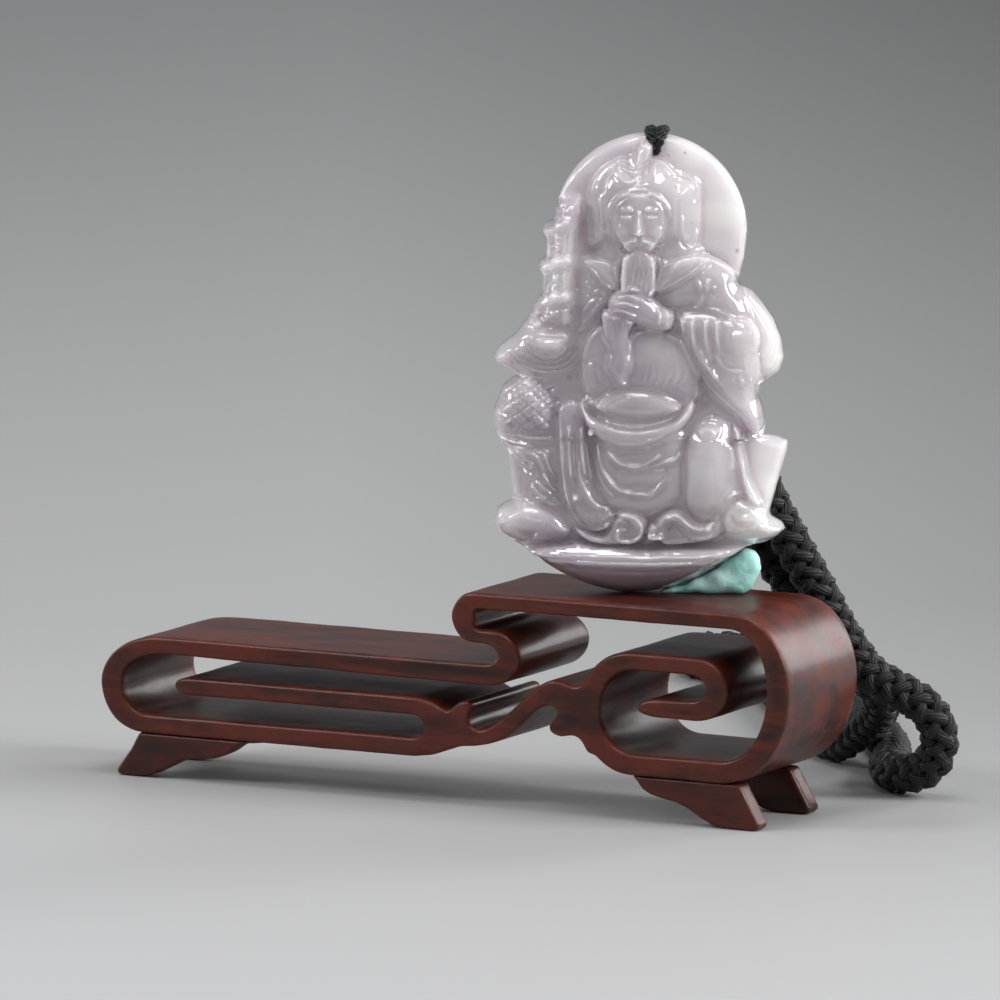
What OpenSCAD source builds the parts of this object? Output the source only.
// Jade amulet pendant on a small wooden scroll stand, with its knotted neck cord.
// Millimetres. +Z is up, the floor is Z = 0, and the stand's front faces -Y.

/* [Stand] */
// Length of the stand
stand_len = 102; // [98:1:110]
// Depth of the stand, front to back
stand_depth = 20; // [18:1:30]
// Height of the bent band, from the feet to the upper shelf's top
band_h = 22.3; // [21.5:0.1:25]
// Height of the feet
foot_h = 6; // [5:0.5:9]
// Thickness of a foot
foot_t = 3; // [2:0.5:4]
// Distance from the front feet's faces to the back feet's faces
feet_pitch = 15; // [12:1:15]

/* [Pendant] */
// Radius of the round halo
halo_r = 12.65; // [12:0.05:13]
// Thickness of the thin plate in front of the middle plane
plate_t = 2; // [1.5:0.1:3]
// Thickness of the plate behind the middle plane
back_t = 2.2; // [1.5:0.1:3]
// How much the plain back bulges
back_crown = 0.8; // [0:0.1:1.5]
// Radius of the hole that the cord goes through
hole_r = 1; // [0.9:0.05:1.1]
// Turn of the pendant on the shelf
pendant_turn = 25; // [0:1:30]
// Place of the pendant along the shelf
pendant_x = 23.3; // [20:0.1:28]
// Place of the pendant across the shelf
pendant_y = 1.65; // [-1:0.05:2]

/* [Cord] */
// Thickness of the knotted neck cord
cord_d = 5; // [4:0.5:5]
// Thickness of the fine braid that goes through the hole
braid_d = 1.5; // [1.2:0.1:1.6]

/* [Putty] */
// Depth of the putty in front of the pendant's middle plane
putty_front = 2.5; // [1:0.5:4]
// Depth of the putty behind the pendant's middle plane
putty_back = 1.8; // [1:0.2:3]

/* [Hidden] */

left_x = -stand_len / 2;
right_x = stand_len / 2;
front_y = -stand_depth / 2;
shelf_z = foot_h + band_h;

// Half the thickness of the band: in the shelves, the foot strips and the two tongues
shelf_w = 1.05;
strip_w = 1.25;
tongue_w = 1.15;

// An elliptical bend of the band's centre line. Each point is [x, z, half thickness],
// and the half thickness goes from w[0] through w[1] to w[2].
function bend(c, r, a, w, n = 10) = [
    for (i = [0 : n])
        let (t = i / n, g = a[0] + (a[1] - a[0]) * t, k = t < 0.5 ? 2 * t : 2 * t - 1)
        let (h = t < 0.5 ? w[0] + (w[1] - w[0]) * k : w[1] + (w[2] - w[1]) * k)
        [c[0] + r[0] * cos(g), c[1] + r[1] * sin(g), h]
];

// Direction of the centre line at point i, and its two edges
function heading(p, i) =
    let (a = p[max(i - 1, 0)], b = p[min(i + 1, len(p) - 1)], d = [b[0] - a[0], b[1] - a[1]])
    d / norm(d);
function edge(p, s) = [
    for (i = [0 : len(p) - 1])
        let (d = heading(p, i))
        [p[i][0] - s * p[i][2] * d[1], p[i][1] + s * p[i][2] * d[0]]
];
function reversed(p) = [for (i = [len(p) - 1 : -1 : 0]) p[i]];

// The same points without repeats, where one bend ends and the next begins
function unrepeated(p) = [
    for (i = [0 : len(p) - 1])
        if (i == 0 || norm([p[i][0] - p[i - 1][0], p[i][1] - p[i - 1][1]]) > 0.01) p[i]
];

// The whole band, from the tip of the lower tongue to the tip of the upper one.
// Heights are measured from the top of the feet.
band = unrepeated(concat(
    [[left_x + 11.1, 6.7, 0.35], [left_x + 11.7, 6.7, 0.85], [left_x + 13, 6.7, tongue_w]],
    bend([-3.9, 3.98], [2.8, 2.73], [90, -90], [tongue_w, 1.35, strip_w]),
    bend([left_x + 6.5, 6.6], [4.9, 5.35], [-90, -180], [strip_w, 1.5, 1.6]),
    bend([left_x + 9.5, 6.6], [7.9, 5.25], [180, 90], [1.6, 1.35, 1.15]),
    bend([6.8, 14.08], [3.3, 2.48], [-90, 90], [1.38, 1.7, 0.85], 12),
    bend([4.9, band_h - 3.38], [1.65, 2.33], [270, 90], [0.85, 1.8, shelf_w], 12),
    bend([right_x - 8.5, 12.2], [6.85, band_h - 13.25], [90, 0], [shelf_w, 1.4, 1.65]),
    bend([right_x - 10, 12.2], [8.35, 10.8], [0, -90], [1.65, 1.55, 1.4]),
    bend([28, 8.2], [6.1, 6.8], [-90, -180], [1.4, 1.45, 1.5]),
    bend([28, 8.2], [6.1, 6.75], [180, 90], [1.5, 1.35, tongue_w]),
    bend([37.1, 12.03], [3.4, 2.92], [90, -90], [tongue_w, 1.7, 1.3]),
    [[31, 9.05, tongue_w], [29.4, 9, 0.75], [28.8, 9, 0.35]]
));

// The cloud-shaped link between the lower tier and the right loop: its lower edge from left
// to right, then its upper edge back, with a small curl at each end
link = [
    [-5.8, 0.1], [-1.5, 0.3], [0.9, 1.2], [2.9, 1.9], [4.8, 2], [7.2, 2.5], [9.6, 3.5],
    [11.6, 5.2], [13.5, 7], [15, 8.1], [16.4, 8.3], [17.3, 7.8], [17.2, 6.9], [16.3, 6],
    [15.8, 5.3], [16.4, 4.6], [17.7, 4.2], [18.8, 4.5], [19.8, 4.6], [20.8, 4], [21.7, 2.3],
    [23.6, 2.6], [23, 8], [23.6, 12.6], [22.3, 13.4], [21.4, 11.8], [20.2, 11], [18.8, 11.1],
    [17.8, 11.5], [16.4, 11.7], [14.5, 10.8], [12, 8.6], [9.6, 6.4], [7.2, 4.7], [5.4, 4.1],
    [4.4, 4.7], [3.9, 5.8], [4.2, 6.5], [4.7, 7.3], [3.9, 8], [2.7, 7.7], [1.8, 7],
    [1.1, 6.3], [0, 6.7], [-1.5, 7.5], [-4, 7.4], [-1.6, 5], [-1.6, 3],
];

// Outlines of the feet, from the outer top corner round the tip and back along the top
left_foot = [
    [-45.4, 0], [-46.6, -2.2], [-48.8, -5.2], [-48.7, -5.9], [-47.3, -6], [-45.4, -6],
    [-43.4, -5.6], [-41, -4.4], [-38.6, -3.2], [-36.2, -3], [-33.8, -2.7], [-31.8, -1.8],
    [-30.4, -0.8], [-28.5, 0],
];
right_foot = [
    [27.9, 0], [28.8, -0.8], [29.2, -1.6], [30.4, -2.3], [32.3, -2.8], [34.3, -3.1],
    [36.2, -3.8], [37.9, -4.9], [39.6, -5.7], [41.5, -6], [45.8, -6], [46.6, -5.4],
    [43.5, 0],
];

// Half outline of the pendant, as [height, x], up to the halo's middle: left, then right
halo_c = [1.3, 47.5];
plinth_top = 5.9;
left_side = [
    [5.9, -15.2], [6.3, -16], [7.5, -18.2], [9.5, -19], [11, -18.5], [12, -16.8], [13, -16.6],
    [16, -17], [18.7, -17.4], [19.6, -18.2], [22, -19], [24, -19.1], [27, -17.8], [28.5, -16],
    [29.3, -17.2], [30, -18.6], [31, -19], [32, -18.4], [34, -16], [36, -14.6], [37.7, -13.8],
    [38.4, -13.4], [39.2, -12.7], [41.5, -12.6], [42.2, -13.1], [43.3, -13.1], [44, -12.2],
    [46.4, -12.1], [47, -12.6], [48, -12.6], [48.8, -11.3],
];
right_side = [
    [5.9, 13.7], [6.3, 14.2], [6.6, 16.3], [7.4, 17.9], [8.6, 19], [9.3, 18.6], [10.2, 17.2],
    [10.8, 17], [15, 18.1], [19, 19.3], [20, 19.3], [20.5, 18.2], [20.9, 16.3], [22.5, 16.4],
    [24.5, 16], [26, 15.4], [27.8, 16], [28.3, 17], [29.2, 18.2], [31, 18.8], [33.5, 18.4],
    [36, 17.4], [38, 16], [39.6, 14.6], [40.4, 13], [41, 12.8], [44, 13.6], [47.5, 13.95],
];

// Rounded masses of the carving: [x, z, half width, half height, height over the plate]
masses = [
    [0.7, 51.6, 7.3, 6.4, 4.4], // hood
    [0.5, 57, 1.5, 2.4, 1.8], // peak of the hood
    [-0.3, 47.4, 4.3, 5.2, 5], // head
    [-5.2, 47.6, 2, 5.6, 3], // left lappet
    [5.4, 47.6, 2.6, 4.8, 3], // right lappet
    [-0.6, 41.4, 2.7, 5, 5], // beard above the hand
    [-2.7, 31.5, 2.2, 6.4, 6.4], // beard below the hand
    [-10, 49.4, 2.2, 2.4, 3], // top of the pagoda
    [-10, 44.9, 2.6, 3.4, 3.6], // upper storey
    [-10, 40.4, 2.8, 3.4, 3.8], // middle storey
    [-10.4, 36, 3.4, 3.2, 3.8], // lower storey
    [-11.6, 31.8, 4, 3.4, 5], // hand under the pagoda
    [-15.6, 31.4, 4, 3, 3], // left sleeve
    [-6, 38.5, 3.6, 6, 3.6], // left breast
    [4.4, 39, 4, 5.4, 3.8], // right breast
    [9.4, 38.6, 4.6, 5, 3.6], // right shoulder
    [-0.6, 36.4, 4, 3, 5.6], // hand on the beard
    [4, 35.2, 2.4, 2.8, 5.4], // cuff
    [8.6, 34.2, 4.8, 2.8, 4.8], // forearm
    [12.6, 32.4, 4, 4, 4.8], // elbow
    [11.4, 27.4, 4.6, 6.4, 3.6], // sleeve
    [15.6, 34, 3, 6, 1.4], // ribbon
    [-0.3, 29.4, 8, 8.6, 5.8], // belly
    [0.2, 24.2, 6.6, 3.2, 5], // pouch
    [-0.8, 21.8, 8.2, 2.4, 5.4], // belt
    [-14.6, 24.2, 4.6, 4.9, 5], // left knee
    [-13.4, 15.6, 4.2, 6.4, 3.4], // left shin
    [-13.6, 9.3, 5.4, 3.5, 5.2], // left foot
    [-8.3, 14.6, 3, 10.4, 4.6], // folds of the robe
    [-0.8, 15.4, 7, 7.4, 4.8], // lap
    [9.4, 16, 4.8, 7.4, 6], // right knee
    [13.2, 9.2, 5.8, 3.3, 5.4], // right foot
    [-3.2, 8.2, 4, 2.6, 5.2], // left cloud
    [3.6, 8.2, 3.6, 2.8, 5.2], // right cloud
    [-0.8, 4.6, 14.6, 3.6, 5.4], // plinth
];

// Lower edge of the lens-shaped plinth at x
lens_x = -0.8;
lens_k = 0.0285;
function lens(x) = lens_k * pow(x - lens_x, 2);

// Left and right outline of the pendant at height z, s = -1 or 1: the lens, the table, the halo
foot_patch = 1.2;
function table(s) = s < 0 ? left_side : right_side;
function halo_from(s) = table(s)[len(table(s)) - 1][0];
function side(z, s) =
    z < plinth_top ? lens_x + s * max(foot_patch, sqrt(z / lens_k)) :
    z > halo_from(s) ? halo_c[0] + s * sqrt(pow(halo_r, 2) - pow(z - halo_c[1], 2)) :
    lookup(z, table(s));

// Height of the carving at a point, rounded off towards the outline
rim_w = 1.6;
least_rim = 0.12;
function rim(x, z) = min(
    x - side(z, -1), side(z, 1) - x, z - min(lens(x), plinth_top) + least_rim,
    z > halo_c[1] ? halo_r - norm([x, z] - halo_c) + least_rim : rim_w
);
function rounded(e) = e >= rim_w ? 1 : sqrt(max(0, 1 - pow(1 - e / rim_w, 2)));
dome_power = 0.62;
function dome(m, x, z) =
    m[4] * pow(max(0, 1 - pow((x - m[0]) / m[2], 2) - pow((z - m[1]) / m[3], 2)), dome_power);
function front(x, z) = rounded(rim(x, z)) * (plate_t + max([for (m = masses) dome(m, x, z)]));

// The plain back bulges towards its middle
crown_z = 28;
crown_w = 20;
crown_h = 34;
function crown(x, z) = max(0, 1 - pow(x / crown_w, 2) - pow((z - crown_z) / crown_h, 2));
function back(x, z) = rounded(rim(x, z)) * (back_t + back_crown * crown(x, z));

// Rows of the carving: close together on the plinth, even up to the halo, then by angle
row_from = 6.6;
row_step = 0.935;
row_count = 45;
rows = concat(
    [0, 0.2, 0.6, 1.2, 1.9, 2.7, 3.6, 4.6, 5.8, 6.2],
    [for (i = [0 : row_count - 1]) row_from + i * row_step],
    [for (a = [4 : 6.5 : 88]) halo_c[1] + halo_r * sin(a)]
);
columns = 36;
back_step = 3;
// Columns stand closer together towards the edges
function spread(j) = (1 - cos(180 * j / columns)) / 2 * 0.5 + j / columns * 0.5;
function row_x(z, j) = side(z, -1) + (side(z, 1) - side(z, -1)) * spread(j);

module carving() {
    front_n = columns + 1;
    back_n = columns / back_step - 1;
    front_points = [
        for (z = rows, j = [0 : columns])
            let (x = row_x(z, j))
            [x, j == 0 || j == columns ? 0 : -front(x, z), z]
    ];
    back_points = [
        for (z = rows, j = [1 : back_n])
            let (x = row_x(z, j * back_step))
            [x, back(x, z), z]
    ];
    last = len(rows) - 1;
    f = function(i, j) i * front_n + j;
    b = function(i, j)
        j == 0 ? f(i, 0) :
        j == back_n + 1 ? f(i, columns) :
        len(front_points) + i * back_n + j - 1;
    front_faces = [
        for (i = [0 : last - 1], j = [0 : columns - 1])
            each [
                [f(i, j), f(i + 1, j), f(i + 1, j + 1)],
                [f(i, j), f(i + 1, j + 1), f(i, j + 1)],
            ]
    ];
    back_faces = [
        for (i = [0 : last - 1], j = [0 : back_n])
            each [
                [b(i, j), b(i + 1, j + 1), b(i + 1, j)],
                [b(i, j), b(i, j + 1), b(i + 1, j + 1)],
            ]
    ];
    end_face = function(i) concat(
        [for (j = [0 : columns]) f(i, j)],
        [for (j = [back_n : -1 : 1]) b(i, j)]
    );
    polyhedron(
        points = concat(front_points, back_points),
        faces = concat(front_faces, back_faces, [end_face(0)], [reversed(end_face(last))])
    );
}

// Where the pendant stands: its own frame has x to the right, y to the back and z up
module on_shelf() {
    translate([pendant_x, pendant_y, shelf_z])
        rotate([0, 0, pendant_turn])
            children();
}
function from_pendant(p) = [
    pendant_x + p[0] * cos(pendant_turn) - p[1] * sin(pendant_turn),
    pendant_y + p[0] * sin(pendant_turn) + p[1] * cos(pendant_turn),
    shelf_z + p[2],
];

// The hole and what goes through it, in the pendant's own frame. The two ends of the neck
// cord leave the knot's bottom, exit_side to either side of the hole.
hole = [2.4, 57.9];
hole_len = 14;
knot_front = 3.4;
knot_t = 5;
knot_w = 10.8;
knot_r = 8.5;
knot_bottom = 54.5;
knot_top = 59.4;
exit_side = 2.75;
exit_y = knot_front + knot_t / 2;
exit_a = from_pendant([hole[0] + exit_side, exit_y, knot_bottom]);
exit_b = from_pendant([hole[0] - exit_side, exit_y, knot_bottom]);

// The braid's route as [y, z], out of the knot's top, over the rim and back through the hole
braid_route = [
    [4.6, knot_top], [4.5, 60.1], [3.9, 60.8], [3, 61], [1.5, 61.1], [0, 61.1], [-1.4, 61],
    [-2.6, 60.6], [-3.4, 59.8], [-3.6, 59], [-3.4, 58.3], [-2.6, 57.9], [-1, 57.9],
    [1.7, 57.9], [knot_front, 57.9],
];

// The neck cord's route: down behind the pendant, a curl on the floor, back along the floor
// behind the stand, round its far end and up again beside itself
lie_z = cord_d / 2 + 0.1;
cord_route = [
    [25.8, 9.4, 77], [27, 10.3, 69], [29, 11.4, 60], [31.8, 12.8, 50.5], [34.9, 14.2, 41.2],
    [38.2, 15.4, 34.5], [41, 17.4, 28.2], [44, 19.4, 21.6], [47.4, 20.6, 16.6],
    [51.6, 21.2, 14.4], [55.2, 21.8, 12.2], [56.4, 23, 8.4], [54.2, 24.2, 4.2],
    [49.4, 25.8, lie_z], [45.6, 29.6, lie_z], [43, 36, lie_z], [38.6, 44.5, lie_z],
    [31, 56, lie_z], [22.4, 68.5, lie_z], [13.6, 81, lie_z], [5.4, 92.6, lie_z],
    [-2, 102, lie_z], [-8.6, 108, lie_z], [-14.8, 109.2, lie_z], [-19.6, 106.6, lie_z],
    [-20.6, 101.8, lie_z], [-17.2, 97.6, lie_z], [-10.4, 94.2, lie_z], [-2, 87.4, lie_z],
    [5, 78, lie_z], [16.4, 62.4, lie_z], [26.6, 48, lie_z], [32.2, 42.8, 3.2],
    [37, 39, 6.2], [41.2, 35.4, 9], [43.8, 31.2, 12], [42.8, 27.2, 15.8],
    [39.6, 23.4, 20.8], [35.8, 20.4, 27.6], [30, 16.4, 38.8], [23.2, 10.6, 58],
    [20.6, 7.1, 77],
];
cord_sides = 8;
cord_steps = 2;

// A smooth curve through the route's points
function through(p, n) = concat(
    [
        for (i = [0 : len(p) - 2], k = [0 : n - 1])
            let (t = k / n, a = p[max(i - 1, 0)], b = p[i], c = p[i + 1])
            let (d = p[min(i + 2, len(p) - 1)])
            (2 * b + (c - a) * t + (2 * a - 5 * b + 4 * c - d) * pow(t, 2)
                + (3 * b - a - 3 * c + d) * pow(t, 3)) / 2
    ],
    [p[len(p) - 1]]
);

// A tube along the points p. first is the direction of its start, and last of its end.
module tube(p, r, sides, first, last) {
    n = len(p);
    along = [
        for (i = [0 : n - 1])
            let (d = i == 0 ? first : i == n - 1 ? last : p[i + 1] - p[i - 1])
            d / norm(d)
    ];
    // The same side of the tube is carried from ring to ring, so it doesn't twist
    start = [1, 0, 0];
    ups = [
        for (i = 0, u = start; i < n; i = i + 1, u = i < n ? u - (u * along[i]) * along[i] : u)
            let (v = u - (u * along[i]) * along[i])
            v / norm(v)
    ];
    points = [
        for (i = [0 : n - 1], k = [0 : sides - 1])
            let (a = 360 * (k + 0.5) / sides)
            p[i] + r * (cos(a) * ups[i] + sin(a) * cross(along[i], ups[i]))
    ];
    walls = [
        for (i = [0 : n - 2], k = [0 : sides - 1])
            let (q = (k + 1) % sides)
            each [
                [i * sides + k, (i + 1) * sides + q, i * sides + q],
                [i * sides + k, (i + 1) * sides + k, (i + 1) * sides + q],
            ]
    ];
    polyhedron(
        points = points,
        faces = concat(
            walls,
            [[for (k = [0 : sides - 1]) k]],
            [[for (k = [sides - 1 : -1 : 0]) (n - 1) * sides + k]]
        )
    );
}

// An outline drawn in the front view, given a depth from y0 to y1
module slab(y0, y1) {
    translate([0, y1, 0])
        rotate([90, 0, 0])
            linear_extrude(y1 - y0)
                children();
}

module jade_figure() {
    color("#b9afb6")
        on_shelf()
            difference() {
                carving();
                translate([hole[0], hole_len / 2, hole[1]])
                    rotate([90, 0, 0])
                        cylinder(r = hole_r, h = hole_len, $fn = 32);
            }
}

module bail_braid() {
    color("#1b1a1c")
        on_shelf()
            tube(
                [for (q = braid_route) [hole[0], q[0], q[1]]],
                braid_d / 2, 8, [0, 0, 1], [0, 1, 0]
            );
}

module bail_knot() {
    color("#1b1a1c")
        on_shelf()
            translate([hole[0], 0, 0])
                slab(knot_front, knot_front + knot_t)
                    intersection() {
                        translate([-knot_w / 2, knot_bottom])
                            square([knot_w, knot_top - knot_bottom]);
                        translate([0, knot_top - knot_r])
                            circle(r = knot_r, $fn = 64);
                    }
}

module neck_cord() {
    color("#242325")
        tube(
            concat([exit_a], through(cord_route, cord_steps), [exit_b]),
            cord_d / 2, cord_sides, [0, 0, -1], [0, 0, 1]
        );
}

// Putty fills the wedge under the plinth's right half, and bulges past the plinth's tip
putty_from = 2.4;
putty_to = 13.6;
putty_gap = 0.12;
putty_bulge = [
    [14.2, 5.6], [15, 5.3], [15.6, 4.4], [15.8, 3.2], [15.2, 1.8], [14.6, 0.8], [putty_to, 0],
];
module putty() {
    under = [for (x = [putty_from + 0.4 : 1.2 : putty_to]) [x, lens(x) - putty_gap]];
    color("#7fc4b8")
        on_shelf()
            slab(-putty_front, putty_back)
                polygon(concat([[putty_from, 0]], under, putty_bulge));
}

module stand_scroll() {
    color("#5f3428")
        translate([0, 0, foot_h]) {
            slab(front_y, -front_y)
                polygon(concat(edge(band, 1), reversed(edge(band, -1))));
            slab(front_y, -front_y)
                polygon(link);
        }
}

module foot(outline, y) {
    drop = foot_h / 6;
    color("#54291f")
        translate([0, 0, foot_h])
            slab(y, y + foot_t)
                polygon([for (p = outline) [p[0], p[1] * drop]]);
}

foot_inset = 0.4;
module foot_front_left() { foot(left_foot, front_y + foot_inset); }
module foot_front_right() { foot(right_foot, front_y + foot_inset); }
module foot_back_left() { foot(left_foot, front_y + feet_pitch); }
module foot_back_right() { foot(right_foot, front_y + feet_pitch); }

jade_figure();
bail_braid();
bail_knot();
neck_cord();
putty();
stand_scroll();
foot_front_left();
foot_front_right();
foot_back_left();
foot_back_right();
